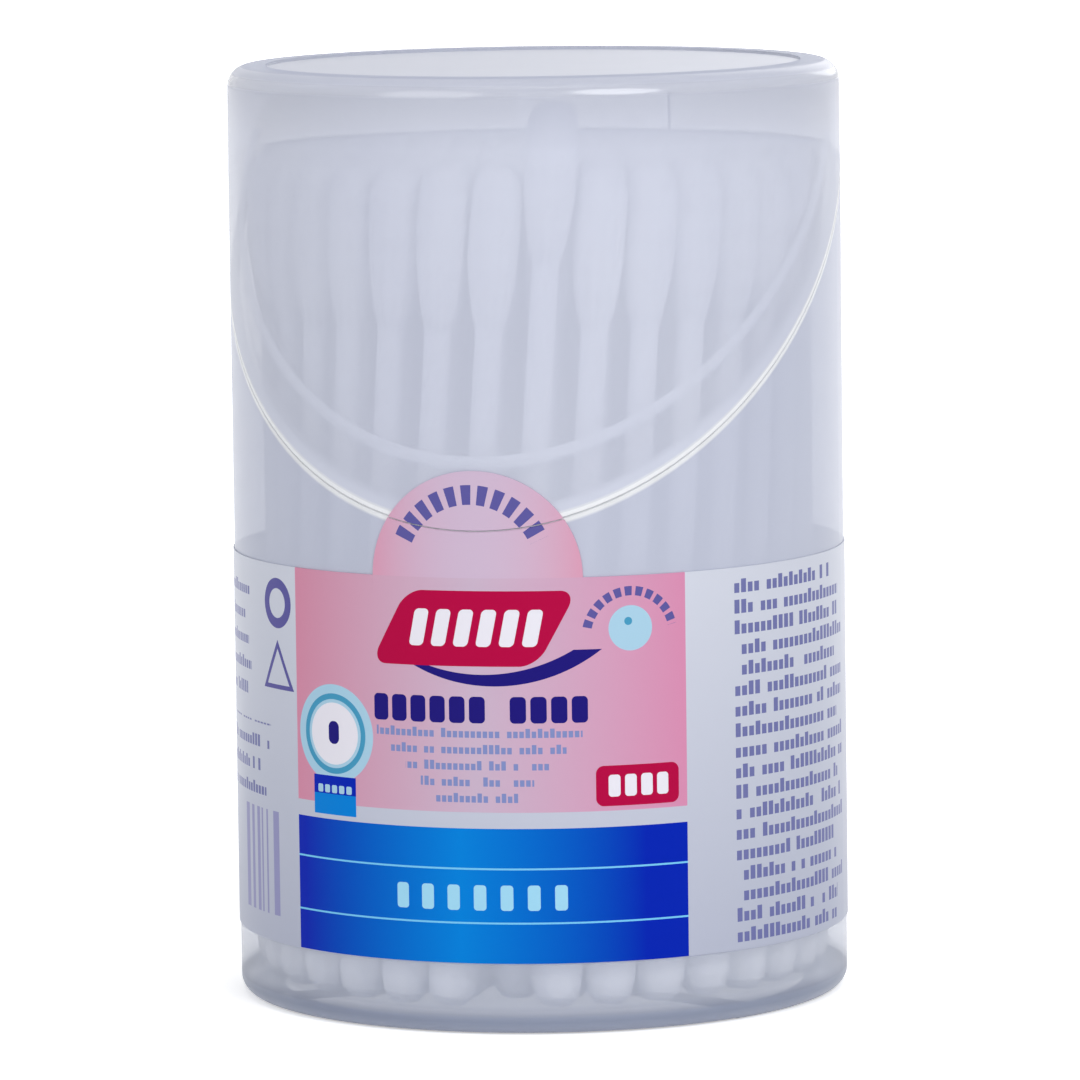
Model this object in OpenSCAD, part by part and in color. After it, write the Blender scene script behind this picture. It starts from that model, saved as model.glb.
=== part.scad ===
// Round tub of cotton swabs with a slanted flip lid, a wrap-round label and its seal tab.
// Origin at the centre of the foot, +Z up, front towards -Y, hinge at the back. Sizes in mm.

/* [Tub] */
// Outer diameter of the tub and its lid
body_d = 54; // [50:0.5:90]
// Wall of the tub
wall_t = 1.35; // [1.2:0.05:2]
// Thickness of the floor
floor_t = 1.1; // [0.8:0.1:2]
// Depth of the hollow under the floor
foot_h = 0.6; // [0.3:0.1:1.5]
// Width of the flat ring that it stands on
foot_ring_w = 2.4; // [1.5:0.1:6]
// Round along the bottom edge
foot_round = 1.4; // [0.6:0.1:2.4]
// Number of pads on the ring that touch the table
pad_count = 3; // [3:1:4]
// Angle that each pad runs round the ring
pad_angle = 16; // [8:1:40]
// Depth of the relief between the pads
pad_h = 0.15; // [0.1:0.05:0.25]
// Width of the ribs under the floor, one to each pad
rib_w = 1.2; // [0.8:0.1:2]
// Diameter of the hub where the ribs meet
hub_d = 6; // [3:0.5:12]
// Fillet between wall and floor inside
floor_fillet = 0.8; // [0.3:0.1:1.5]

/* [Parting line] */
// Height of the closed lid at the front
lid_front_h = 38.6; // [25:0.1:45]
// Height of the closed lid at the hinge
lid_back_h = 8.2; // [7:0.1:12]
// Slope of the shoulder between the two, in degrees
rim_slope = 43; // [36:0.5:48]
// Radius of the knee between slope and level
knee_r = 8; // [3:0.5:12]
// Upright gap between the shoulder and the closed lid
rim_gap = 0.2; // [0.1:0.05:0.4]

/* [Neck] */
// Height of the neck above the shoulder
neck_h = 5; // [4.5:0.1:5.5]
// Wall of the neck
neck_t = 0.5; // [0.4:0.05:0.7]
// Gap between neck and lid, each side
neck_gap = 0.1; // [0.1:0.02:0.2]
// Height of the catch bead above the shoulder's low point
catch_z = 3.4; // [2.8:0.1:3.8]
// How far the catch bead stands out
catch_h = 0.2; // [0.1:0.05:0.3]
// Height of each slope of the catch bead
catch_slope_h = 0.6; // [0.5:0.05:0.8]
// Angle that the catch bead runs round the neck
catch_angle = 30; // [10:1:34]
// Gap between the catch bead and its groove
catch_gap = 0.1; // [0.1:0.02:0.2]

/* [Lid] */
// Free height between the swabs and the lid's top
head_room = 6.3; // [6:0.1:20]
// Thickness of the lid's top
lid_top_t = 0.9; // [0.7:0.05:1.5]
// Round along the lid's top edge
top_round = 1.8; // [1.2:0.1:4]
// Height of the lid's upper part that draws in
draft_h = 11.5; // [8:0.5:20]
// How far the lid draws in by the start of its round
draft_in = 0.05; // [0:0.05:0.3]
// Width of the raised border round the lid's top
border_w = 1.6; // [1:0.1:4]
// Depth of the lid's top below its border
border_h = 0.25; // [0.1:0.05:0.5]

/* [Hinge] */
// Width of the film hinge
hinge_w = 14; // [8:0.5:20]
// How far the hinge's axis stands off the wall
hinge_off = 0.6; // [0.5:0.05:0.8]
// How far each leaf stands off the wall
leaf_off = 0.4; // [0.3:0.05:0.45]
// Height of the leaf on the tub
tub_leaf_h = 5; // [3:0.5:8]
// Height of the leaf on the lid
lid_leaf_h = 3.6; // [2:0.2:4.2]
// Diameter of the film's roll along the axis
film_d = 0.4; // [0.3:0.02:0.5]

/* [Label] */
// Lower edge of the label
label_z = 6.3; // [3:0.1:10]
// Thickness of the label's film
label_t = 0.1; // [0.08:0.01:0.2]
// Film of glue under the label, left as a gap
glue_gap = 0.02; // [0.02:0.01:0.05]
// Radius of the seal tab on the label's upper edge
tab_r = 9.2; // [6:0.1:11]
// Part of that radius that stays below the shoulder's low point
tab_low_share = 0.435; // [0.3:0.005:0.6]
// Gap where the label's two ends meet at the back
seam_w = 0.6; // [0.3:0.1:2]

/* [Swabs] */
// Length of a swab
swab_l = 73; // [60:0.5:90]
// Diameter of the paper stick
stick_d = 2.35; // [2:0.05:2.6]
// Diameter of a cotton tip
tip_d = 4.34; // [3.8:0.02:4.6]
// Length of a cotton tip
tip_l = 14; // [10:0.5:18]
// Length of the tip's thick part with its round end
tip_belly = 8; // [6:0.5:9]
// Wall of cotton where the tip runs out on the stick
tip_skirt_t = 0.25; // [0.15:0.05:0.5]
// Cotton beyond the end of the stick
tip_cap = 3; // [2.5:0.1:5]
// Gap between the stick and the cotton round it
tip_gap = 0.03; // [0.02:0.01:0.05]
// Gap between neighbouring tips
tip_space = 0.06; // [0.05:0.01:0.3]
// Gap between the outer tips and the wall at mid-height
side_space = 0.38; // [0.35:0.01:0.8]
// Gap between tips and floor
floor_space = 0.05; // [0.03:0.01:0.2]
// Lean of the outermost swabs, in degrees
swab_lean = 4; // [0:0.5:4]
// Turn of the whole bundle of swabs, in degrees
bundle_turn = 3.7; // [0:0.1:11]
// How far one outer swab stands above the others
high_swab = 5.6; // [0:0.1:5.8]

/* [Hidden] */
$fn = 96;
reach = 200;
body_r = body_d / 2;
inner_r = body_r - wall_t;
neck_r = inner_r + neck_t;
lid_in_r = neck_r + neck_gap;
floor_z = foot_h + floor_t;
swab_top_z = floor_z + floor_space + swab_l;
lid_under_z = swab_top_z + head_room;
body_h = lid_under_z + lid_top_t + border_h;
rim_front_z = body_h - lid_front_h;
rim_back_z = body_h - lid_back_h;
knee_y = (rim_back_z - rim_front_z) / tan(rim_slope) - body_r;
knee_run = knee_r * tan(rim_slope / 2);
knee_steps = 10;
top_r = body_r - draft_in;
round_z = body_h - top_round;
hinge_y = body_r + hinge_off;
leaf_y = leaf_off - hinge_off;
label_in_r = body_r + glue_gap;
label_top_z = rim_front_z - tab_r * tab_low_share;
tip_r = tip_d / 2;
pitch = tip_d + tip_space;
outer_ring_r = inner_r - tip_r - side_space;
ring_count = floor(outer_ring_r / pitch) + 1;
high_index = 24;

function ring_r(ring) = outer_ring_r - (ring - 1) * pitch;
function at_centre(ring) = ring_r(ring) < pitch / 2;
function ring_n(ring) = at_centre(ring) ? 1 : floor(180 / asin(pitch / 2 / ring_r(ring)));
function place_r(ring) = at_centre(ring) ? 0 : ring_r(ring);
function lean(ring) = atan(tan(swab_lean) * place_r(ring) / outer_ring_r);
function lift(ring, i) = ring == 1 && i == high_index ? high_swab : 0;
function middle_z(ring) = floor_z + floor_space + tip_r + (swab_l / 2 - tip_r) * cos(lean(ring));

// Side view of everything below the shoulder, raised by up
module below_rim(up = 0) {
    rotate([90, 0, 90])
        linear_extrude(height = reach, center = true)
            translate([0, up])
                polygon(concat(
                    [[-reach, -reach]],
                    [[-reach, rim_back_z - (knee_y + reach) * tan(rim_slope)]],
                    [for (i = [0 : knee_steps])
                        let (a = rim_slope * (1 - i / knee_steps))
                        [knee_y + knee_run - knee_r * sin(a), rim_back_z - knee_r * (1 - cos(a))]],
                    [[reach, rim_back_z], [reach, -reach]]
                ));
}

// Upright profile of a filled round body with its bottom edge rounded
module rounded_foot(r, h, round) {
    translate([0, round])
        square([r, h - round]);
    square([r - round, round]);
    translate([r - round, round])
        intersection() {
            circle(round);
            translate([0, -round])
                square(round);
        }
}

module tub_wall() {
    rotate_extrude()
        difference() {
            rounded_foot(body_r, reach, foot_round);
            translate([0, floor_z])
                rounded_foot(inner_r, reach, floor_fillet);
            square([body_r - foot_round - foot_ring_w, foot_h]);
        }
}

// Ribs under the floor, from a hub in the middle to each pad of the foot ring
module foot_ribs() {
    cylinder(h = floor_z - floor_t / 2, d = hub_d);
    for (i = [0 : pad_count - 1])
        rotate([0, 0, 90 + i * 360 / pad_count])
            translate([0, -rib_w / 2, 0])
                cube([body_r - foot_round - foot_ring_w / 2, rib_w, floor_z - floor_t / 2]);
}

// Shallow reliefs under the foot ring that leave its pads standing
module foot_reliefs() {
    step = 360 / pad_count;
    for (i = [0 : pad_count - 1])
        rotate([0, 0, 90 + pad_angle / 2 + i * step])
            rotate_extrude(angle = step - pad_angle)
                translate([body_r - foot_round - foot_ring_w - 1, -1])
                    square([foot_ring_w + foot_round + 2, pad_h + 1]);
}

module neck_ring() {
    rotate_extrude()
        translate([inner_r, floor_z + floor_fillet])
            square([neck_t, round_z - rim_gap - floor_z - floor_fillet]);
}

// Band with a raised middle along the front of the neck, standing out by out
module catch_band(out, tall, sweep) {
    translate([0, 0, rim_front_z + catch_z])
        rotate([0, 0, -90 - sweep / 2])
            rotate_extrude(angle = sweep)
                polygon([
                    [neck_r - neck_t / 2, -tall],
                    [neck_r, -tall],
                    [neck_r + out, 0],
                    [neck_r, tall],
                    [neck_r - neck_t / 2, tall]
                ]);
}

// Leaf profile in a side view, extruded over the hinge's width and kept outside the wall
module hinge_leaf(keep_r) {
    difference() {
        translate([0, hinge_y, rim_back_z])
            rotate([90, 0, 90])
                linear_extrude(height = hinge_w, center = true)
                    children();
        cylinder(h = reach, r = keep_r);
    }
}

module tub() {
    color([0.83, 0.85, 0.9]) {
        difference() {
            intersection() {
                tub_wall();
                below_rim();
            }
            foot_reliefs();
        }
        foot_ribs();
        intersection() {
            neck_ring();
            below_rim(neck_h);
        }
        catch_band(catch_h, catch_slope_h, catch_angle);
        hinge_leaf((inner_r + body_r) / 2)
            polygon([
                [-body_r / 4, -tub_leaf_h - leaf_off],
                [-hinge_off, -tub_leaf_h - leaf_off],
                [leaf_y, -tub_leaf_h],
                [leaf_y, -hinge_off],
                [film_d / 3, -hinge_off / 2],
                [film_d / 3, 0],
                [-body_r / 4, 0]
            ]);
        translate([0, hinge_y, rim_back_z])
            rotate([0, 90, 0])
                cylinder(h = hinge_w, d = film_d, center = true);
    }
}

module lid_form() {
    rotate_extrude()
        difference() {
            union() {
                polygon([
                    [0, 0],
                    [body_r, 0],
                    [body_r, round_z - draft_h],
                    [top_r, round_z],
                    [0, round_z]
                ]);
                translate([0, round_z])
                    square([top_r - top_round, top_round]);
                translate([top_r - top_round, round_z])
                    intersection() {
                        circle(top_round);
                        square(top_round);
                    }
            }
            square([lid_in_r, round_z]);
            translate([0, round_z])
                square([top_r - top_round, lid_under_z - round_z]);
            translate([top_r - top_round, round_z])
                intersection() {
                    circle(lid_in_r - top_r + top_round);
                    square([top_round, lid_under_z - round_z]);
                }
            translate([0, body_h - border_h])
                square([top_r - top_round - border_w, reach]);
        }
}

module lid() {
    color([0.85, 0.87, 0.92]) {
        difference() {
            lid_form();
            below_rim(rim_gap);
            catch_band(catch_h + catch_gap, catch_slope_h + catch_gap * 2, catch_angle + 2);
        }
        hinge_leaf((lid_in_r + body_r) / 2)
            polygon([
                [-body_r / 4, rim_gap],
                [-hinge_off, rim_gap],
                [leaf_y, rim_gap + film_d / 2],
                [leaf_y, lid_leaf_h],
                [-hinge_off - draft_in, lid_leaf_h + leaf_off],
                [-body_r / 4, lid_leaf_h + leaf_off]
            ]);
    }
}

module film_shell(from_z, to_z) {
    translate([0, 0, from_z])
        difference() {
            cylinder(h = to_z - from_z, r = label_in_r + label_t);
            translate([0, 0, -1])
                cylinder(h = to_z - from_z + 2, r = label_in_r);
        }
}

module tab_field() {
    translate([0, 0, label_top_z])
        rotate([90, 0, 0])
            cylinder(h = reach, r = tab_r);
}

module label() {
    color([0.9, 0.93, 0.98]) {
        difference() {
            film_shell(label_z, label_top_z);
            translate([-seam_w / 2, 0, 0])
                cube([seam_w, reach, reach]);
        }
        intersection() {
            film_shell(label_top_z - 1, label_top_z + tab_r);
            tab_field();
            below_rim();
        }
    }
}

module seal_tab() {
    color([0.86, 0.8, 0.88])
        difference() {
            intersection() {
                film_shell(label_top_z, label_top_z + tab_r + 1);
                tab_field();
            }
            below_rim(rim_gap);
        }
}

// Puts a swab's parts on every place of a ring, each leaning along the ring
module in_ring(ring) {
    n = ring_n(ring);
    for (i = [0 : n - 1])
        rotate([0, 0, 360 / n * (i + ring / 2) + bundle_turn])
            translate([place_r(ring), 0, middle_z(ring)])
                rotate([-lean(ring), 0, 0])
                    translate([0, 0, lift(ring, i)])
                        children();
}

// Half a tip's section, with its round end at the origin and the stick's hole in it
module tip() {
    rotate_extrude()
        difference() {
            union() {
                translate([0, tip_r])
                    intersection() {
                        circle(tip_r);
                        translate([0, -tip_r])
                            square(tip_r);
                    }
                polygon([
                    [0, tip_r],
                    [tip_r, tip_r],
                    [tip_r, tip_belly],
                    [stick_d / 2 + tip_skirt_t, tip_l],
                    [0, tip_l]
                ]);
            }
            translate([0, tip_cap])
                square([stick_d / 2 + tip_gap, tip_l]);
        }
}

module sticks(ring) {
    color([0.97, 0.96, 0.94])
        in_ring(ring)
            cylinder(h = swab_l - 2 * (tip_cap + tip_gap), d = stick_d, center = true);
}

module lower_tips(ring) {
    color([1, 1, 1])
        in_ring(ring)
            translate([0, 0, -swab_l / 2])
                tip();
}

module upper_tips(ring) {
    color([1, 1, 1])
        in_ring(ring)
            rotate([180, 0, 0])
                translate([0, 0, -swab_l / 2])
                    tip();
}

tub();
lid();
label();
seal_tab();
for (ring = [1 : ring_count]) {
    sticks(ring);
    lower_tips(ring);
    upper_tips(ring);
}
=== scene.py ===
import math
import random

import bpy
from mathutils import Matrix, Quaternion, Vector


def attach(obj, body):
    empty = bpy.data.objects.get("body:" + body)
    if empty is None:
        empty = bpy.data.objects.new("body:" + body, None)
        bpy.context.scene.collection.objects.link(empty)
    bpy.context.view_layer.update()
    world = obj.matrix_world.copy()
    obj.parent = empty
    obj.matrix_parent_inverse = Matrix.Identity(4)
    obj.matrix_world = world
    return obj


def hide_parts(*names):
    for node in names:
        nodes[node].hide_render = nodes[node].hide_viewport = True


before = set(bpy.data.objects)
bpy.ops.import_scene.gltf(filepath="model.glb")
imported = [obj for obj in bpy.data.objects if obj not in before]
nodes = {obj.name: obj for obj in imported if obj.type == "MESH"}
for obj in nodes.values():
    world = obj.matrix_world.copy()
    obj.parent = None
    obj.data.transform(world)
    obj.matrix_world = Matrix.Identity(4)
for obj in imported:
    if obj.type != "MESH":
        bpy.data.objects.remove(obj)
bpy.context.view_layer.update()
mm = 0.001
perMetre = 1000.0
bpy.ops.object.select_all(action="DESELECT")
bpy.context.scene.view_settings.view_transform = "Standard"
print("frame loaded")


def tone(red, green, blue):
    # a colour as seen on screen, 0 to 255, as a shader colour
    def curve(part):
        part = part / 255
        return part / 12.92 if part <= 0.04045 else ((part + 0.055) / 1.055) ** 2.4

    return (curve(red), curve(green), curve(blue), 1)


# ---- camera ----

viewSetup = {
    "azimuth": 12.0,
    "elevation": 6.57,
    "distance": 0.6834,
    "aimHeight": 0.0411,
    "lens": 256.8,
    "roll": -0.747,
    "shiftRight": 0.0011,
    "shiftUp": -0.01444,
    "sensorWidth": 36,
    "nearest": 0.01,
}


def addCamera(setup):
    around, above = math.radians(setup["azimuth"]), math.radians(setup["elevation"])
    aim = Vector((0, 0, setup["aimHeight"]))
    away = Vector(
        (math.sin(around) * math.cos(above), -math.cos(around) * math.cos(above), math.sin(above))
    )
    data = bpy.data.cameras.new("viewCamera")
    data.lens = setup["lens"]
    data.sensor_width = setup["sensorWidth"]
    data.shift_x = setup["shiftRight"]
    data.shift_y = setup["shiftUp"]
    data.clip_start = setup["nearest"]
    camera = bpy.data.objects.new("viewCamera", data)
    bpy.context.scene.collection.objects.link(camera)
    camera.location = aim + away * setup["distance"]
    turn = (-away).to_track_quat("-Z", "Y") @ Quaternion((0, 0, 1), math.radians(setup["roll"]))
    camera.rotation_euler = turn.to_euler()
    bpy.context.scene.camera = camera


addCamera(viewSetup)

# ---- light and floor ----

lampSetup = {
    "frontLeft": {"place": (-0.4, -0.75, 0.45), "size": 0.6, "power": 1.7},
    "frontRight": {"place": (0.56, -0.56, 0.52), "size": 0.5, "power": 3.05},
    "above": {"place": (0.05, -0.05, 0.8), "size": 0.7, "power": 1.6},
    "behind": {"place": (0.1, 0.8, 0.4), "size": 0.6, "power": 1.4},
}
lampAim = (0, 0, 0.04)
worldLevel = 0.42


def addLamps(setup):
    for name, lamp in setup.items():
        data = bpy.data.lights.new(name, "AREA")
        data.shape = "DISK"
        data.size = lamp["size"]
        data.energy = lamp["power"]
        thing = bpy.data.objects.new(name, data)
        bpy.context.scene.collection.objects.link(thing)
        thing.location = lamp["place"]
        toAim = Vector(lampAim) - thing.location
        thing.rotation_euler = toAim.to_track_quat("-Z", "Y").to_euler()


def plug(tree, socket, value):
    if isinstance(value, bpy.types.NodeSocket):
        tree.links.new(value, socket)
    else:
        socket.default_value = value


def calc(tree, operation, *values):
    node = tree.nodes.new("ShaderNodeMath")
    node.operation = operation
    for socket, value in zip(node.inputs, values):
        plug(tree, socket, value)
    return node.outputs[0]


def seenDirectly(tree):
    # 1 for rays that come from the camera, a reflection or through clear material
    path = tree.nodes.new("ShaderNodeLightPath")
    direct = calc(tree, "MAXIMUM", path.outputs["Is Camera Ray"], path.outputs["Is Glossy Ray"])
    return calc(tree, "MAXIMUM", direct, path.outputs["Is Transmission Ray"])


def setWorld():
    world = bpy.data.worlds.new("studio")
    bpy.context.scene.world = world
    world.use_nodes = True
    tree = world.node_tree
    back = tree.nodes["Background"]
    back.inputs["Color"].default_value = (1, 1, 1, 1)
    strength = calc(tree, "MULTIPLY_ADD", seenDirectly(tree), 1 - worldLevel, worldLevel)
    tree.links.new(strength, back.inputs["Strength"])


floorSetup = {
    "radius": 4.0,
    "corners": 64,
    "paleness": 0.9,
    "roughness": 0.9,
    "nearGlow": 0.45,
    "farGlow": 1.0,
    "near": 0.03,
    "far": 0.25,
}


def addFloor(setup):
    bpy.ops.mesh.primitive_circle_add(
        vertices=setup["corners"], radius=setup["radius"], fill_type="NGON", location=(0, 0, 0)
    )
    floor = bpy.context.active_object
    floor.name = "floor"
    material = bpy.data.materials.new("paleFloor")
    material.use_nodes = True
    tree = material.node_tree
    shader = tree.nodes["Principled BSDF"]
    pale = setup["paleness"]
    shader.inputs["Base Color"].default_value = (pale, pale, pale, 1)
    shader.inputs["Roughness"].default_value = setup["roughness"]
    shader.inputs["Emission Color"].default_value = (1, 1, 1, 1)
    # the floor fades out to the white backdrop away from the tub
    spot = tree.nodes.new("ShaderNodeTexCoord")
    reach = tree.nodes.new("ShaderNodeVectorMath")
    reach.operation = "LENGTH"
    tree.links.new(spot.outputs["Object"], reach.inputs[0])
    fade = tree.nodes.new("ShaderNodeMapRange")
    fade.interpolation_type = "SMOOTHSTEP"
    tree.links.new(reach.outputs["Value"], fade.inputs["Value"])
    fade.inputs["From Min"].default_value = setup["near"]
    fade.inputs["From Max"].default_value = setup["far"]
    fade.inputs["To Min"].default_value = setup["nearGlow"]
    fade.inputs["To Max"].default_value = setup["farGlow"]
    glow = calc(tree, "MULTIPLY", seenDirectly(tree), fade.outputs["Result"])
    tree.links.new(glow, shader.inputs["Emission Strength"])
    floor.data.materials.append(material)
    bpy.ops.object.select_all(action="DESELECT")


addLamps(lampSetup)
setWorld()
addFloor(floorSetup)
print("camera, light and floor set")

# ---- plain finishes ----


def newFinish(name):
    material = bpy.data.materials.new(name)
    material.use_nodes = True
    tree = material.node_tree
    return material, tree, tree.nodes["Principled BSDF"]


def objectPoint(tree, scale):
    # the point on the piece in millimetres, stretched by scale
    spot = tree.nodes.new("ShaderNodeTexCoord")
    mapping = tree.nodes.new("ShaderNodeMapping")
    mapping.inputs["Scale"].default_value = [perMetre * part for part in scale]
    tree.links.new(spot.outputs["Object"], mapping.inputs["Vector"])
    return mapping.outputs["Vector"]


def noise(tree, point, size, detail=2.0, rough=0.5):
    node = tree.nodes.new("ShaderNodeTexNoise")
    node.inputs["Scale"].default_value = 1 / size
    node.inputs["Detail"].default_value = detail
    node.inputs["Roughness"].default_value = rough
    tree.links.new(point, node.inputs["Vector"])
    return node.outputs["Fac"]


def bump(tree, shader, height, depth, strength=0.5):
    node = tree.nodes.new("ShaderNodeBump")
    node.inputs["Strength"].default_value = strength
    node.inputs["Distance"].default_value = depth * mm
    tree.links.new(height, node.inputs["Height"])
    tree.links.new(node.outputs["Normal"], shader.inputs["Normal"])


def between(tree, factor, low, high):
    # a colour between low and high
    node = tree.nodes.new("ShaderNodeMix")
    node.data_type = "RGBA"
    plug(tree, node.inputs[0], factor)
    plug(tree, node.inputs[6], low)
    plug(tree, node.inputs[7], high)
    return node.outputs[2]


def spread(tree, value, low, high):
    # a number from 0..1 spread over low..high
    return calc(tree, "MULTIPLY_ADD", value, high - low, low)


def without(tree, mask, cut):
    # the mask where the cut isn't
    return calc(tree, "MULTIPLY", mask, calc(tree, "SUBTRACT", 1.0, cut))


def within(tree, value, low, high):
    # 1 between low and high, 0 elsewhere
    return calc(tree, "COMPARE", value, (low + high) / 2, (high - low) / 2)


def both(tree, *masks):
    # where all the masks meet
    result = masks[0]
    for mask in masks[1:]:
        result = calc(tree, "MULTIPLY", result, mask)
    return result


def square(tree, value):
    return calc(tree, "MULTIPLY", value, value)


def ramp(tree, value, start, end):
    # 0 at start and before it, 1 at end and beyond
    part = calc(tree, "DIVIDE", calc(tree, "SUBTRACT", value, start), end - start)
    return calc(tree, "MINIMUM", calc(tree, "MAXIMUM", part, 0.0), 1.0)


cloudSetup = {"stretch": (1, 1, 0.5), "size": 12.0, "detail": 1.0}
plasticIor = 1.5
plasticSetup = {
    "tub": {
        "dim": tone(199, 205, 225),
        "bright": tone(207, 212, 231),
        "outer": 0.8,
        "low": 0.5,
        "inner": 0.0,
        # radius, height and way up or down of the edge's round, and how far out the outer skin lies
        "round": (25.6, 1.4, -1, 0.8),
        "shine": (0.3, 0.36),
        "gloss": 0.2,
    },
    "lid": {
        "dim": tone(213, 218, 238),
        "bright": tone(221, 226, 243),
        "outer": 0.7,
        "low": 0.7,
        "inner": 0.05,
        "round": (25.15, 80.4, 1, 1.45),
        "shine": (0.28, 0.34),
        "gloss": 0.2,
    },
}
rimSetup = {
    "front": 68.8,
    "slope": 0.9325,
    "back": 74.0,
    # height above the shoulder and half the width of each pale line
    "edges": {"tub": ((0.0, 0.5), (5.0, 0.8)), "lid": ((0.2, 0.6),)},
    # painted highlight: the colour of the pale lines along the cut edges
    "edgeHighlightColour": tone(248, 250, 254),
    "edgeOpacity": 0.8,
    # the share of the half width at which a line has its full strength
    "edgeCore": 0.5,
    "labelFoot": 6.2,
    # behind the label the wall is opaque
    "covered": (6.6, 39.4),
    # painted light: the band under the label is painted paler, to lift the shade on the tips seen
    # through its thinner skin
    "lowLitColour": tone(222, 229, 248),
    "footLow": 1.5,
    "footHigh": 2.6,
    # painted shade: the foot band is painted dark for the shade it lies in; its high opacity below
    # is for the thick floor
    "footShadeColour": tone(145, 153, 174),
    "footOpacity": 0.93,
    # painted shade: the underside of the floor, within this radius and below this height, is
    # painted dark for the shade it lies in
    "soleRadius": 24.5,
    "soleHigh": 2.0,
    "soleShadeColour": tone(128, 136, 158),
    "soleOpacity": 0.4,
    # painted light: the hem at the very bottom is painted paler, to lift the shade on its downward
    # face
    "hemLow": 0.1,
    "hemHigh": 1.1,
    "hemLitColour": tone(176, 183, 203),
    "edgesBelow": 76.0,
    # painted shade: the wall is painted darker towards the top, to tone down the light and
    # reflection it catches there
    "topHigh": 82.0,
    "topLow": 76.0,
    "topShadeColour": tone(188, 193, 212),
    # the polished round along the lid's top
    "polishLow": 80.6,
    "polishHigh": 81.5,
    "polish": 0.7,
    "polishedShine": 0.14,
    # the lid's flat top is duller than its round
    "flatHigh": 82.1,
    "flatShine": 0.55,
    "flatGloss": 0.02,
}


def heights(tree, setup):
    # in millimetres: height above the floor and the slanted shoulder, and distance from the axis
    spot = tree.nodes.new("ShaderNodeTexCoord")
    split = tree.nodes.new("ShaderNodeSeparateXYZ")
    tree.links.new(spot.outputs["Object"], split.inputs[0])
    slope = setup["slope"] * perMetre
    slant = calc(tree, "MULTIPLY_ADD", split.outputs["Y"], slope, setup["front"])
    shoulder = calc(tree, "MINIMUM", slant, setup["back"])
    up = calc(tree, "MULTIPLY", split.outputs["Z"], perMetre)
    flat = tree.nodes.new("ShaderNodeCombineXYZ")
    tree.links.new(split.outputs["X"], flat.inputs["X"])
    tree.links.new(split.outputs["Y"], flat.inputs["Y"])
    reach = tree.nodes.new("ShaderNodeVectorMath")
    reach.operation = "LENGTH"
    tree.links.new(flat.outputs[0], reach.inputs[0])
    out = calc(tree, "MULTIPLY", reach.outputs["Value"], perMetre)
    return up, calc(tree, "SUBTRACT", up, shoulder), out


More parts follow.
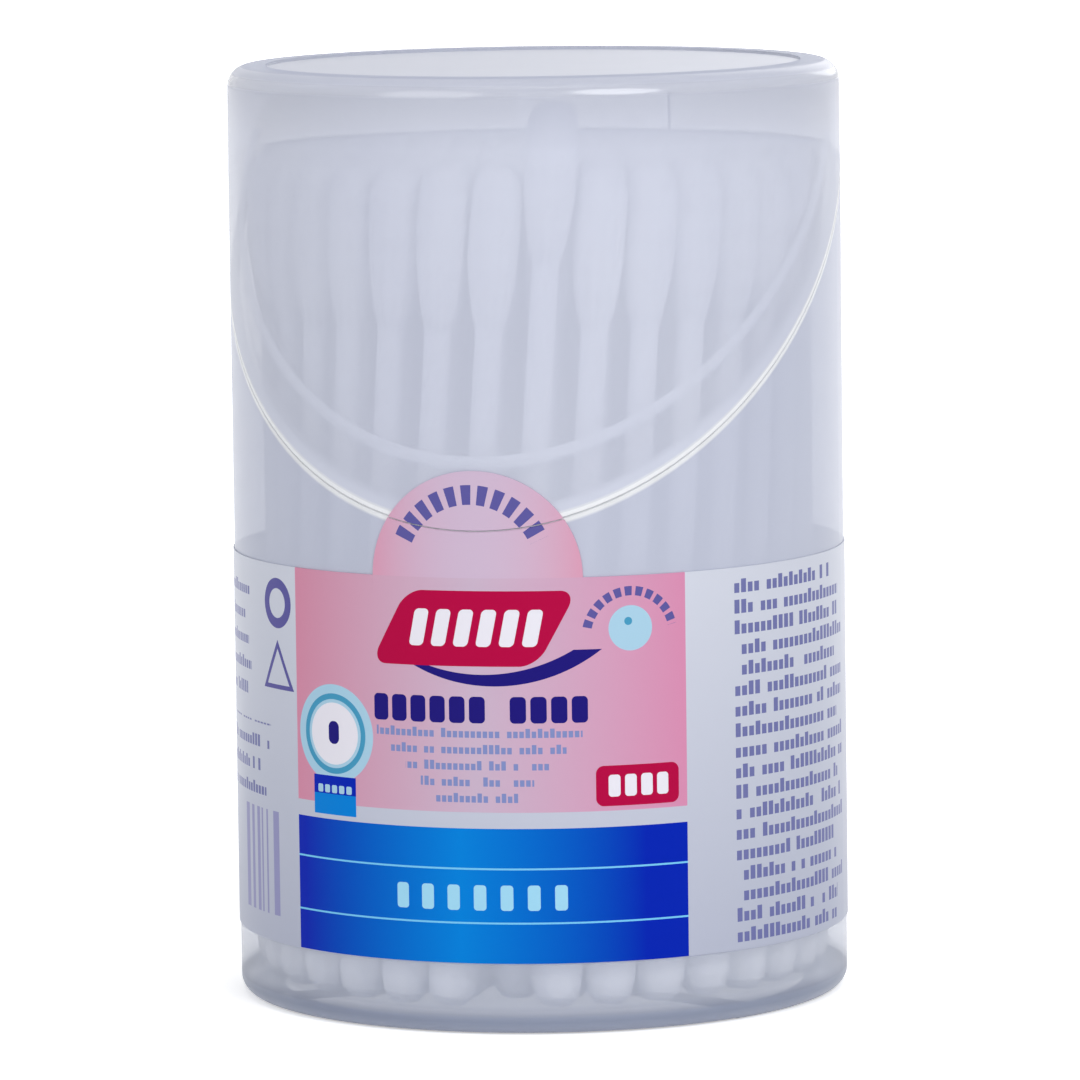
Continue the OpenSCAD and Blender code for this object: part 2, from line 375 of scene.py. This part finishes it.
def milkyPlastic(name, setup, edges):
    # glossy and milky, with some clear sight of the swabs
    material, tree, shader = newFinish(name)
    cloudPoint = objectPoint(tree, cloudSetup["stretch"])
    cloud = noise(tree, cloudPoint, cloudSetup["size"], cloudSetup["detail"])
    colour = between(tree, cloud, setup["dim"], setup["bright"])
    # painted highlight: pale lines are painted along the cut edges, for the light they gather, and
    # show through the wall
    up, above, out = heights(tree, rimSetup)
    edgeHighlight = 0.0
    for middle, half in edges:
        off = calc(tree, "ABSOLUTE", calc(tree, "SUBTRACT", above, middle))
        share = calc(tree, "DIVIDE", off, half)
        edgeHighlight = calc(tree, "MAXIMUM", edgeHighlight, ramp(tree, share, 1.0, rimSetup["edgeCore"]))
    inFoot = ramp(tree, up, rimSetup["footHigh"], rimSetup["footLow"])
    lowPart = without(tree, calc(tree, "LESS_THAN", up, rimSetup["labelFoot"]), inFoot)
    # painted light on the band under the label
    colour = between(tree, lowPart, colour, rimSetup["lowLitColour"])
    # painted shade on the foot band
    colour = between(tree, inFoot, colour, rimSetup["footShadeColour"])
    inHem = ramp(tree, up, rimSetup["hemHigh"], rimSetup["hemLow"])
    # painted light on the hem
    colour = between(tree, inHem, colour, rimSetup["hemLitColour"])
    inShadedSole = both(
        tree,
        calc(tree, "LESS_THAN", out, rimSetup["soleRadius"]),
        calc(tree, "LESS_THAN", up, rimSetup["soleHigh"]),
    )
    # painted shade on the underside of the floor
    colour = between(tree, inShadedSole, colour, rimSetup["soleShadeColour"])
    # painted shade towards the top
    shadedTop = ramp(tree, up, rimSetup["topLow"], rimSetup["topHigh"])
    colour = between(tree, shadedTop, colour, rimSetup["topShadeColour"])
    edgeHighlight = calc(tree, "MULTIPLY", edgeHighlight, calc(tree, "LESS_THAN", up, rimSetup["edgesBelow"]))
    paint = between(tree, edgeHighlight, colour, rimSetup["edgeHighlightColour"])
    tree.links.new(paint, shader.inputs["Base Color"])
    low, high = setup["shine"]
    polished = within(tree, up, rimSetup["polishLow"], rimSetup["polishHigh"])
    shine = without(tree, spread(tree, cloud, low, high), polished)
    shine = calc(tree, "MULTIPLY_ADD", polished, rimSetup["polishedShine"], shine)
    onTop = calc(tree, "GREATER_THAN", up, rimSetup["flatHigh"])
    shine = calc(tree, "MAXIMUM", shine, calc(tree, "MULTIPLY", onTop, rimSetup["flatShine"]))
    tree.links.new(shine, shader.inputs["Roughness"])
    shader.inputs["IOR"].default_value = plasticIor
    gloss = calc(tree, "MULTIPLY_ADD", polished, rimSetup["polish"], setup["gloss"])
    gloss = calc(tree, "MULTIPLY_ADD", onTop, rimSetup["flatGloss"] - setup["gloss"], gloss)
    tree.links.new(gloss, shader.inputs["Specular IOR Level"])

    # the milkiness sits in the outer skin, and the skin inside the wall is clear or almost so
    skin = spread(tree, lowPart, setup["outer"], setup["low"])
    skin = calc(tree, "MAXIMUM", skin, calc(tree, "MULTIPLY", inFoot, rimSetup["footOpacity"]))
    skin = calc(tree, "MAXIMUM", skin, within(tree, up, *rimSetup["covered"]))
    radius, level, way, reach = setup["round"]
    beyond = calc(tree, "MAXIMUM", calc(tree, "SUBTRACT", out, radius), 0.0)
    offLevel = calc(tree, "MULTIPLY", calc(tree, "SUBTRACT", up, level), float(way))
    past = calc(tree, "MAXIMUM", offLevel, 0.0)
    depth = calc(tree, "ADD", square(tree, beyond), square(tree, past))
    outside = calc(tree, "GREATER_THAN", depth, reach * reach)
    opacity = calc(tree, "MAXIMUM", calc(tree, "MULTIPLY", skin, outside), setup["inner"])
    for mask, strength in ((edgeHighlight, "edgeOpacity"), (inShadedSole, "soleOpacity")):
        part = calc(tree, "MULTIPLY", mask, rimSetup[strength])
        opacity = calc(tree, "MAXIMUM", opacity, part)
    clear = tree.nodes.new("ShaderNodeBsdfTransparent")
    whole = tree.nodes.new("ShaderNodeMixShader")
    tree.links.new(opacity, whole.inputs["Fac"])
    tree.links.new(clear.outputs[0], whole.inputs[1])
    tree.links.new(shader.outputs[0], whole.inputs[2])
    tree.links.new(whole.outputs[0], tree.nodes["Material Output"].inputs["Surface"])
    return material


paperSetup = {
    "dim": tone(226, 228, 234),
    "bright": tone(248, 248, 250),
    "stretch": (3, 3, 0.35),
    # size, detail and roughness of the noise
    "fibre": (0.5, 1.0, 0.6),
    "shine": 0.75,
    # depth and strength
    "bump": (0.05, 0.6),
}


def paper(name, setup):
    material, tree, shader = newFinish(name)
    fibre = noise(tree, objectPoint(tree, setup["stretch"]), *setup["fibre"])
    paint = between(tree, fibre, setup["dim"], setup["bright"])
    tree.links.new(paint, shader.inputs["Base Color"])
    shader.inputs["Roughness"].default_value = setup["shine"]
    bump(tree, shader, fibre, *setup["bump"])
    return material


cottonSetup = {
    "dim": tone(232, 233, 238),
    "bright": tone(255, 255, 255),
    "stretch": (1, 1, 0.6),
    # size, detail and roughness of the noise
    "fluff": (0.4, 2.0, 0.7),
    "patches": (2.2, 0.0),
    "fluffShare": 0.6,
    "patchShare": 0.4,
    "shine": 0.95,
    # depth and strength
    "bump": (0.14, 0.8),
}


def cotton(name, setup):
    material, tree, shader = newFinish(name)
    fluff = noise(tree, objectPoint(tree, setup["stretch"]), *setup["fluff"])
    patches = noise(tree, objectPoint(tree, (1, 1, 1)), *setup["patches"])
    patchPart = calc(tree, "MULTIPLY", patches, setup["patchShare"])
    mixed = calc(tree, "MULTIPLY_ADD", fluff, setup["fluffShare"], patchPart)
    paint = between(tree, mixed, setup["dim"], setup["bright"])
    tree.links.new(paint, shader.inputs["Base Color"])
    shader.inputs["Roughness"].default_value = setup["shine"]
    bump(tree, shader, fluff, *setup["bump"])
    return material


def dress(name, material):
    piece = nodes[name]
    if not piece.material_slots:
        piece.data.materials.append(material)
    for place in piece.material_slots:
        place.material = material


for partName in ("tub", "lid"):
    edges = rimSetup["edges"][partName]
    dress(partName, milkyPlastic(partName + "Plastic", plasticSetup[partName], edges))
stickPaper = paper("stickPaper", paperSetup)
tipCotton = cotton("tipCotton", cottonSetup)
ringNames = sorted(name.split("_")[1] for name in nodes if name.startswith("sticks_"))
for ringName in ringNames:
    dress("sticks_" + ringName, stickPaper)
print("plastic, paper and cotton made")

# ---- printed label ----
# Print is laid out in millimetres: across runs round the label from the front, up is the height.

labelSetup = {
    "radius": 27.1,
    "panelHalf": 18.6,
    "panelLow": 19.4,
    "panelHigh": 39.7,
    "bandLow": 5.3,
    "bandHigh": 18.0,
    "bandLines": (14.5, 9.8),
    "bandLineHalf": 0.08,
    # how fast the band gets darker away from its centre
    "bandFall": 1.15,
    # painted shade: the white film darkens from this height down to the lower one
    "whiteHigh": 39.0,
    "whiteLow": 7.0,
    "tabLow": 39.6,
    "tabHalf": 12.0,
    "tabFade": 9.0,
    "tabPower": 2.0,
    # the height at which leaning shapes aren't shifted
    "slantMiddle": 35.2,
    "whiteTop": tone(208, 212, 225),
    "whiteShadedFoot": tone(183, 188, 206),
    "panelLeft": tone(212, 141, 168),
    "panelMiddle": tone(200, 178, 200),
    "panelRight": tone(214, 140, 176),
    "tabMiddle": tone(204, 182, 206),
    "tabEdge": tone(214, 156, 182),
    "bandMiddle": tone(0, 128, 216),
    "bandEdge": tone(0, 36, 176),
    "bandCentre": -1.5,
    "bandLine": tone(120, 200, 240),
    "crimson": tone(178, 6, 66),
    "navy": tone(30, 22, 118),
    "slate": tone(112, 116, 168),
    "paleInk": tone(128, 140, 192),
    "stripe": tone(150, 150, 192),
    "sky": tone(168, 206, 228),
    "teal": tone(70, 152, 190),
    "ink": tone(92, 88, 156),
    "whiteInk": tone(232, 230, 240),
    "paleBlue": tone(160, 215, 240),
    # size and detail of the film's waves
    "wave": (5.0, 0.0),
    "waveStretch": (1, 1, 0.4),
    "shine": (0.28, 0.42),
    "gloss": 0.05,
    # depth and strength
    "bump": (0.05, 0.5),
}
# how small print is broken up, as shares of the letter's height, of its cell or of the row
smallPrint = {
    "cell": 0.62,
    "inked": 0.74,
    "foot": 0.05,
    "short": 0.72,
    "shortChance": 0.72,
    "gapChance": 0.12,
    "ragged": 0.2,
}


def labelPlaces(tree, radius):
    spot = tree.nodes.new("ShaderNodeTexCoord")
    split = tree.nodes.new("ShaderNodeSeparateXYZ")
    tree.links.new(spot.outputs["Object"], split.inputs[0])
    forward = calc(tree, "MULTIPLY", split.outputs["Y"], -1.0)
    turn = calc(tree, "ARCTAN2", split.outputs["X"], forward)
    across = calc(tree, "MULTIPLY", turn, radius)
    up = calc(tree, "MULTIPLY", split.outputs["Z"], perMetre)
    join = tree.nodes.new("ShaderNodeCombineXYZ")
    tree.links.new(across, join.inputs["X"])
    tree.links.new(up, join.inputs["Y"])
    return {"across": across, "up": up, "point": join.outputs[0]}


def oblong(tree, at, left, right, low, high):
    return both(tree, within(tree, at["across"], left, right), within(tree, at["up"], low, high))


def distance(tree, at, across, up):
    node = tree.nodes.new("ShaderNodeVectorMath")
    node.operation = "DISTANCE"
    tree.links.new(at["point"], node.inputs[0])
    node.inputs[1].default_value = (across, up, 0)
    return node.outputs["Value"]


def disc(tree, at, across, up, radius):
    return calc(tree, "LESS_THAN", distance(tree, at, across, up), radius)


def ring(tree, at, across, up, inner, outer):
    return within(tree, distance(tree, at, across, up), inner, outer)


def roundedBar(tree, at, left, right, low, high, corner):
    sides = []
    for value, start, end in ((at["across"], left, right), (at["up"], low, high)):
        off = calc(tree, "ABSOLUTE", calc(tree, "SUBTRACT", value, (start + end) / 2))
        past = calc(tree, "SUBTRACT", off, (end - start) / 2 - corner)
        sides.append(calc(tree, "MAXIMUM", past, 0.0))
    squares = [square(tree, side) for side in sides]
    reach = calc(tree, "SQRT", calc(tree, "ADD", *squares))
    return calc(tree, "LESS_THAN", reach, corner)


def crescent(tree, at, across, up, radius, cutAcross, cutUp, cutRadius, high):
    # a disc with a disc cut out of it, below a height
    whole = disc(tree, at, across, up, radius)
    rest = without(tree, whole, disc(tree, at, cutAcross, cutUp, cutRadius))
    return both(tree, rest, calc(tree, "LESS_THAN", at["up"], high))


def slanted(tree, at, middle, slope):
    # the same places, leaning to the right above the middle height
    lean = calc(tree, "MULTIPLY", calc(tree, "SUBTRACT", at["up"], middle), slope)
    return {"across": calc(tree, "SUBTRACT", at["across"], lean), "up": at["up"]}


def chance(tree, first, second=0.0):
    # a steady random number for a pair of whole numbers
    join = tree.nodes.new("ShaderNodeCombineXYZ")
    plug(tree, join.inputs["X"], first)
    plug(tree, join.inputs["Y"], second)
    node = tree.nodes.new("ShaderNodeTexWhiteNoise")
    node.noise_dimensions = "2D"
    tree.links.new(join.outputs[0], node.inputs["Vector"])
    return node.outputs["Value"]


def blockRow(tree, at, left, step, number, low, high, width, corner, blank=-1):
    # a row of rounded blocks in place of a word
    count = calc(tree, "DIVIDE", calc(tree, "SUBTRACT", at["across"], left), step)
    local = calc(tree, "MULTIPLY", calc(tree, "SUBTRACT", calc(tree, "FRACT", count), 0.5), step)
    inBlock = {"across": local, "up": at["up"]}
    block = roundedBar(tree, inBlock, -width / 2, width / 2, low, high, corner)
    mask = both(tree, block, within(tree, at["across"], left, left + step * number))
    if blank < 0:
        return mask
    return without(tree, mask, calc(tree, "COMPARE", calc(tree, "FLOOR", count), float(blank), 0.5))


def textBlock(tree, at, left, right, low, high, pitch, letter, seed):
    # rows of small upright blocks in place of small print
    # pitch is from row to row, letter the height of a block
    rowCount = calc(tree, "DIVIDE", calc(tree, "SUBTRACT", at["up"], low), pitch)
    row = calc(tree, "FLOOR", rowCount)
    rise = calc(tree, "MULTIPLY", calc(tree, "FRACT", rowCount), pitch)
    step = letter * smallPrint["cell"]
    cellCount = calc(tree, "DIVIDE", calc(tree, "SUBTRACT", at["across"], left), step)
    cell = calc(tree, "FLOOR", cellCount)
    line = calc(tree, "ADD", row, seed)
    dice = chance(tree, cell, line)
    isTall = calc(tree, "GREATER_THAN", dice, smallPrint["shortChance"])
    tall = spread(tree, isTall, letter * smallPrint["short"], letter)
    overFoot = calc(tree, "GREATER_THAN", rise, smallPrint["foot"])
    inRise = both(tree, overFoot, calc(tree, "LESS_THAN", rise, tall))
    inCell = calc(tree, "LESS_THAN", calc(tree, "FRACT", cellCount), smallPrint["inked"])
    inWord = calc(tree, "GREATER_THAN", dice, smallPrint["gapChance"])
    shortest = left + (right - left) * (1 - smallPrint["ragged"])
    longest = spread(tree, chance(tree, row, seed + 0.5), shortest, right)
    inLength = calc(tree, "LESS_THAN", at["across"], longest)
    area = oblong(tree, at, left, right, low, high)
    return both(tree, inRise, inCell, inWord, inLength, area)


def centredRows(tree, at, left, right, low, high, pitch, letter, seed, lowestHalf):
    # small print in rows that get shorter downwards, by one pitch at each end
    rows = textBlock(tree, at, left, right, low, high, pitch, letter, seed)
    rowCount = calc(tree, "DIVIDE", calc(tree, "SUBTRACT", at["up"], low), pitch)
    half = calc(tree, "MULTIPLY_ADD", calc(tree, "FLOOR", rowCount), pitch, lowestHalf)
    return both(tree, rows, calc(tree, "LESS_THAN", calc(tree, "ABSOLUTE", at["across"]), half))


def stripes(tree, at, left, right, low, high, width, seed):
    # upright stripes, each drawn or left out by chance
    count = calc(tree, "FLOOR", calc(tree, "DIVIDE", at["across"], width))
    drawn = calc(tree, "GREATER_THAN", chance(tree, count, seed), 0.5)
    return both(tree, drawn, oblong(tree, at, left, right, low, high))


def arcDashes(tree, at, across, up, inner, outer, halfAngle, step, fill):
    # blocks along an arc that opens downwards
    fromMiddle = calc(tree, "SUBTRACT", at["across"], across)
    turn = calc(tree, "ARCTAN2", fromMiddle, calc(tree, "SUBTRACT", at["up"], up))
    count = calc(tree, "DIVIDE", calc(tree, "ADD", turn, halfAngle), step)
    part = calc(tree, "LESS_THAN", calc(tree, "FRACT", count), fill)
    reach = within(tree, turn, -halfAngle, halfAngle)
    return both(tree, part, reach, ring(tree, at, across, up, inner, outer))


def triangleLine(tree, at, across, up, inner, half):
    sides = []
    for degrees in (270, 30, 150):
        node = tree.nodes.new("ShaderNodeVectorMath")
        node.operation = "DOT_PRODUCT"
        angle = math.radians(degrees)
        node.inputs[1].default_value = (math.cos(angle), math.sin(angle), 0)
        tree.links.new(at["point"], node.inputs[0])
        shift = across * math.cos(angle) + up * math.sin(angle)
        sides.append(calc(tree, "SUBTRACT", node.outputs["Value"], shift))
    reach = calc(tree, "MAXIMUM", calc(tree, "MAXIMUM", sides[0], sides[1]), sides[2])
    return within(tree, reach, inner - half, inner + half)


# the shapes of the print, from the lowest layer up:
# how each is drawn, how far it leans, its numbers in millimetres and radians, and its colour
printShapes = [
    # dashes round the seal tab
    (arcDashes, 0, (-0.3, 40.2, 5.7, 7.4, 1.15, 0.209, 0.6), "ink"),
    # crescent, crimson patch and blocks in the middle
    (crescent, 0, (1.6, 46.0, 15.7, 0.6, 47.2, 15.9, 33.4), "navy"),
    (roundedBar, 0.55, (-7.9, 7.1, 32.0, 38.5, 1.5), "crimson"),
    (blockRow, 0.2, (-6.0, 2.0, 6, 33.7, 36.9, 1.3, 0.4), "whiteInk"),
    (blockRow, 0, (-9.6, 1.77, 11, 27.1, 29.4, 1.4, 0.4, 6), "navy"),
    # crimson badge at the lower right
    (roundedBar, 0, (10.3, 17.8, 19.8, 23.3, 0.7), "crimson"),
    (blockRow, 0, (11.2, 1.45, 4, 20.6, 22.5, 1.05, 0.3), "whiteInk"),
    # small disc under dashes at the upper right
    (arcDashes, 0, (13.5, 34.4, 3.5, 4.3, 1.35, 0.245, 0.66), "ink"),
    (disc, 0, (13.5, 35.1, 1.95), "sky"),
    (disc, 0, (13.3, 35.7, 0.35), "teal"),
    # round badge and its foot at the lower left
    (disc, 0, (-13.9, 25.5, 4.3), "sky"),
    (ring, 0, (-13.9, 25.5, 3.0, 3.5), "teal"),
    (disc, 0, (-13.9, 25.5, 2.7), "whiteInk"),
    (roundedBar, 0, (-14.5, -13.3, 24.6, 26.6, 0.55), "navy"),
    (oblong, 0, (-16.4, -11.5, 18.4, 21.8), "bandEdge"),
    (oblong, 0, (-16.4, -11.5, 18.4, 20.2), "bandMiddle"),
    (blockRow, 0, (-16.0, 0.83, 5, 20.3, 21.0, 0.6, 0.15), "sky"),
    # blocks on the blue band
    (blockRow, 0, (-8.0, 2.34, 7, 10.9, 13.1, 1.1, 0.3), "paleBlue"),
    # small print and plain signs on the white sides
    (textBlock, 0, (23.7, 43.5, 6.9, 39.0, 1.79, 1.25, 3.0), "slate"),
    (ring, 0, (-21.5, 36.2, 1.3, 2.2), "ink"),
    (triangleLine, 0, (-21.5, 30.1, 1.25, 0.2), "ink"),
    (textBlock, 0, (-38.0, -26.4, 27.5, 37.4, 2.2, 1.1, 11.0), "slate"),
    (textBlock, 0, (-38.0, -21.6, 18.9, 25.4, 2.1, 1.1, 19.0), "slate"),
    # small rows on the pink panel, and the stripes on the left
    (centredRows, 0, (-9.4, 14.0, 20.2, 27.0, 1.4, 0.85, 27.0, 3.6), "paleInk"),
    (stripes, 0, (-29.5, -21.3, 8.6, 17.8, 0.34, 5.0), "stripe"),
]


def shareAway(tree, across, half):
    # 0 in the middle, 1 at half the width and beyond
    share = calc(tree, "DIVIDE", calc(tree, "ABSOLUTE", across), half)
    return calc(tree, "MINIMUM", share, 1.0)


def backgroundLayers(tree, at, setup):
    # the white film with painted shade that deepens towards its foot, then the pink panel, the seal
    # tab, the blue band and its lines
    half = setup["panelHalf"]
    # painted shade: the white film gets darker towards the bottom, where less light falls
    fade = ramp(tree, at["up"], setup["whiteHigh"], setup["whiteLow"])
    white = between(tree, fade, setup["whiteTop"], setup["whiteShadedFoot"])

    leftSide = calc(tree, "LESS_THAN", at["across"], 0.0)
    pinkEdge = between(tree, leftSide, setup["panelRight"], setup["panelLeft"])
    pink = between(tree, shareAway(tree, at["across"], half), setup["panelMiddle"], pinkEdge)
    panel = oblong(tree, at, -half, half, setup["panelLow"], setup["panelHigh"])

    tabAway = shareAway(tree, at["across"], setup["tabFade"])
    tabPart = calc(tree, "POWER", tabAway, setup["tabPower"])
    tabPink = between(tree, tabPart, setup["tabMiddle"], setup["tabEdge"])
    overPanel = calc(tree, "GREATER_THAN", at["up"], setup["tabLow"])
    tab = both(tree, overPanel, within(tree, at["across"], -setup["tabHalf"], setup["tabHalf"]))

    offCentre = calc(tree, "SUBTRACT", at["across"], setup["bandCentre"])
    deep = shareAway(tree, offCentre, half / setup["bandFall"])
    blue = between(tree, deep, setup["bandMiddle"], setup["bandEdge"])
    band = oblong(tree, at, -half, half, setup["bandLow"], setup["bandHigh"])

    layers = [(panel, pink), (tab, tabPink), (band, blue)]
    for line in setup["bandLines"]:
        low, high = line - setup["bandLineHalf"], line + setup["bandLineHalf"]
        layers.append((oblong(tree, at, -half, half, low, high), setup["bandLine"]))
    return white, layers


def printedFilm(name, setup):
    material, tree, shader = newFinish(name)
    at = labelPlaces(tree, setup["radius"])
    paint, layers = backgroundLayers(tree, at, setup)
    for draw, lean, numbers, colour in printShapes:
        place = slanted(tree, at, setup["slantMiddle"], lean) if lean else at
        layers.append((draw(tree, place, *numbers), setup[colour]))
    for mask, colour in layers:
        paint = between(tree, mask, paint, colour)
    tree.links.new(paint, shader.inputs["Base Color"])

    wave = noise(tree, objectPoint(tree, setup["waveStretch"]), *setup["wave"])
    tree.links.new(spread(tree, wave, *setup["shine"]), shader.inputs["Roughness"])
    shader.inputs["Specular IOR Level"].default_value = setup["gloss"]
    bump(tree, shader, wave, *setup["bump"])
    return material


labelPrint = printedFilm("labelPrint", labelSetup)
dress("label", labelPrint)
dress("seal_tab", labelPrint)
print("label printed")

# ---- cotton tips ----

tipSetup = {
    "sides": 12,
    # height above the round end and radius of each rib of the wound cotton
    "ribs": (
        (0.3, 1.2),
        (1.2, 1.98),
        (2.4, 2.2),
        (5.2, 2.24),
        (8.2, 2.2),
        (10.4, 2.0),
        (12.6, 1.62),
        (14.0, 1.22),
    ),
    "unevenness": 0.05,
    "seed": 41,
}
bundleSetup = {
    "outerRing": 23.1,
    "pitch": 4.4,
    "lean": 4.0,
    "turn": 3.7,
    "floor": 1.75,
    "length": 73.0,
    "tipRadius": 2.17,
    "highPlace": 24,
    "highLift": 5.6,
}


def modelTip(setup):
    # a ring of points, drawn up rib by rib and scaled to each rib's radius
    ribs = setup["ribs"]
    endHeight, endRadius = ribs[0][0] * mm, ribs[0][1] * mm
    bpy.ops.mesh.primitive_circle_add(
        vertices=setup["sides"], radius=endRadius, fill_type="NGON", location=(0, 0, endHeight)
    )
    tip = bpy.context.active_object
    bpy.ops.object.transform_apply(location=True, rotation=True, scale=True)
    bpy.ops.object.mode_set(mode="EDIT")
    bpy.ops.mesh.select_all(action="SELECT")
    for (oldHeight, oldRadius), (height, radius) in zip(ribs, ribs[1:]):
        rise = (height - oldHeight) * mm
        bpy.ops.mesh.extrude_region_move(TRANSFORM_OT_translate={"value": (0, 0, rise)})
        grow = radius / oldRadius
        bpy.ops.transform.resize(value=(grow, grow, 1), center_override=(0, 0, height * mm))
    bpy.ops.mesh.select_all(action="SELECT")
    bpy.ops.mesh.normals_make_consistent(inside=False)
    bpy.ops.object.mode_set(mode="OBJECT")
    # the round end comes to a point at height nought
    mesh = tip.data
    sameHeight = mm / 1000
    for face in mesh.polygons:
        offsets = [mesh.vertices[index].co.z - endHeight for index in face.vertices]
        face.select = all(abs(offset) < sameHeight for offset in offsets)
    bpy.ops.object.mode_set(mode="EDIT")
    bpy.ops.mesh.select_mode(type="FACE")
    bpy.ops.mesh.poke(offset=-endHeight)
    bpy.ops.object.mode_set(mode="OBJECT")
    bpy.ops.object.shade_smooth()
    bpy.ops.object.select_all(action="DESELECT")
    return tip


def ringPlaces(setup, ringIndex):
    # where each swab of a ring stands: its turn and its lean
    radius = setup["outerRing"] - ringIndex * setup["pitch"]
    centred = radius < setup["pitch"] / 2
    count = 1 if centred else math.floor(math.pi / math.asin(setup["pitch"] / 2 / radius))
    radius = 0 if centred else radius
    lean = math.atan(math.tan(math.radians(setup["lean"])) * radius / setup["outerRing"])
    straight = setup["length"] / 2 - setup["tipRadius"]
    middle = setup["floor"] + setup["tipRadius"] + straight * math.cos(lean)
    places = []
    for place in range(count):
        turn = math.radians(360 / count * (place + (ringIndex + 1) / 2) + setup["turn"])
        lift = setup["highLift"] if ringIndex == 0 and place == setup["highPlace"] else 0
        places.append(
            Matrix.Rotation(turn, 4, "Z")
            @ Matrix.Translation((radius * mm, 0, middle * mm))
            @ Matrix.Rotation(-lean, 4, "X")
            @ Matrix.Translation((0, 0, lift * mm))
        )
    return places


def addTips(pattern, setup, ringIndex, upper, dice):
    # copies of the pattern on every swab of the ring, joined into one piece
    copies = []
    for place in ringPlaces(setup, ringIndex):
        copy = pattern.copy()
        copy.data = pattern.data.copy()
        bpy.context.scene.collection.objects.link(copy)
        for vertex in copy.data.vertices:
            swell = 1 + dice.uniform(-1, 1) * tipSetup["unevenness"]
            vertex.co.x *= swell
            vertex.co.y *= swell
        end = Matrix.Rotation(math.pi, 4, "X") if upper else Matrix.Identity(4)
        spin = Matrix.Rotation(dice.uniform(0, math.tau), 4, "Z")
        down = Matrix.Translation((0, 0, -setup["length"] / 2 * mm))
        copy.data.transform(place @ end @ down @ spin)
        copies.append(copy)
    bpy.ops.object.select_all(action="DESELECT")
    for copy in copies:
        copy.select_set(True)
    bpy.context.view_layer.objects.active = copies[0]
    if len(copies) > 1:
        bpy.ops.object.join()
    piece = bpy.context.active_object
    kind = "upper" if upper else "lower"
    piece.name = kind + "Cotton" + str(ringIndex + 1)
    piece.data.materials.clear()
    piece.data.materials.append(tipCotton)
    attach(piece, "tub")
    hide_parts(kind + "_tips_" + str(ringIndex + 1))
    bpy.ops.object.select_all(action="DESELECT")
    return piece


tipPattern = modelTip(tipSetup)
tipDice = random.Random(tipSetup["seed"])
for ringIndex in range(len(ringNames)):
    for upper in (False, True):
        addTips(tipPattern, bundleSetup, ringIndex, upper, tipDice)
bpy.data.objects.remove(tipPattern)
print("cotton tips wound")
